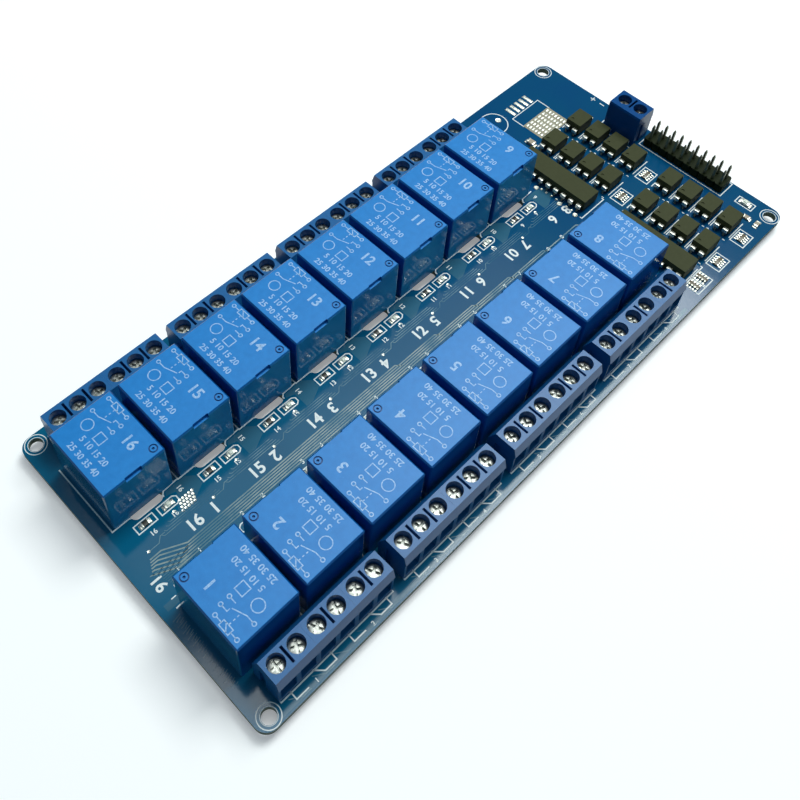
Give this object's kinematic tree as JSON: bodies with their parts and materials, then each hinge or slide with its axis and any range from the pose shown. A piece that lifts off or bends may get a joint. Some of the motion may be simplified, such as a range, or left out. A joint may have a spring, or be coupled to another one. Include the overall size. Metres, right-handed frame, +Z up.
{
  "type": "relay module board",
  "caption": "Blue circuit board with two rows of relays, screw terminal banks on both long edges, and drivers, optocouplers, a pin header and a supply terminal at one end.",
  "frame": {"origin": "centre of the four mounting holes, on the underside of the board", "axes": "+X along the board towards the pin header end, +Y across the board towards the relay row k09 to k16, +Z up out of the component side"},
  "size_m": [0.183, 0.0822, 0.0188],
  "materials": {
    "board_blue": "glossy solder mask over glass laminate",
    "relay_blue": "satin moulded plastic",
    "relay_base_navy": "matt potting and moulding",
    "terminal_blue": "satin moulded plastic",
    "plated_steel": "bright nickel plating",
    "tin": "bright solder",
    "black_plastic": "matt moulding compound",
    "chip_black": "dull glaze with tinned ends",
    "lamp_white": "clear to milky resin",
    "chip_ceramic": "dull ceramic with tinned ends"
  },
  "bodies": {
    "root": {"board": "board_blue", "relay_cover_k01": "relay_blue", "relay_cover_k02": "relay_blue", "relay_cover_k03": "relay_blue", "relay_cover_k04": "relay_blue", "relay_cover_k05": "relay_blue", "relay_cover_k06": "relay_blue", "relay_cover_k07": "relay_blue", "relay_cover_k08": "relay_blue", "relay_cover_k09": "relay_blue", "relay_cover_k10": "relay_blue", "relay_cover_k11": "relay_blue", "relay_cover_k12": "relay_blue", "relay_cover_k13": "relay_blue", "relay_cover_k14": "relay_blue", "relay_cover_k15": "relay_blue", "relay_cover_k16": "relay_blue", "relay_bases_lower": "relay_base_navy", "relay_bases_upper": "relay_base_navy", "terminal_bank_lower_1": "terminal_blue", "terminal_bank_lower_2": "terminal_blue", "terminal_bank_lower_3": "terminal_blue", "terminal_bank_lower_4": "terminal_blue", "terminal_bank_upper_1": "terminal_blue", "terminal_bank_upper_2": "terminal_blue", "terminal_bank_upper_3": "terminal_blue", "terminal_bank_upper_4": "terminal_blue", "power_terminal": "terminal_blue", "terminal_clamps": "plated_steel", "terminal_screws": "plated_steel", "power_clamps": "plated_steel", "power_screws": "plated_steel", "header_pins": "plated_steel", "relay_tails": "tin", "terminal_tails": "tin", "driver_leads": "tin", "optocoupler_leads": "tin", "logic_tails": "tin", "header_body": "black_plastic", "driver_1": "black_plastic", "driver_2": "black_plastic", "optocouplers_1_inner": "black_plastic", "optocouplers_1_outer": "black_plastic", "optocouplers_2_inner": "black_plastic", "optocouplers_2_outer": "black_plastic", "relay_resistors": "chip_black", "resistor_arrays": "chip_black", "relay_lamps": "lamp_white", "power_lamp": "lamp_white", "logic_chips": "chip_ceramic"}
  },
  "joints": []
}
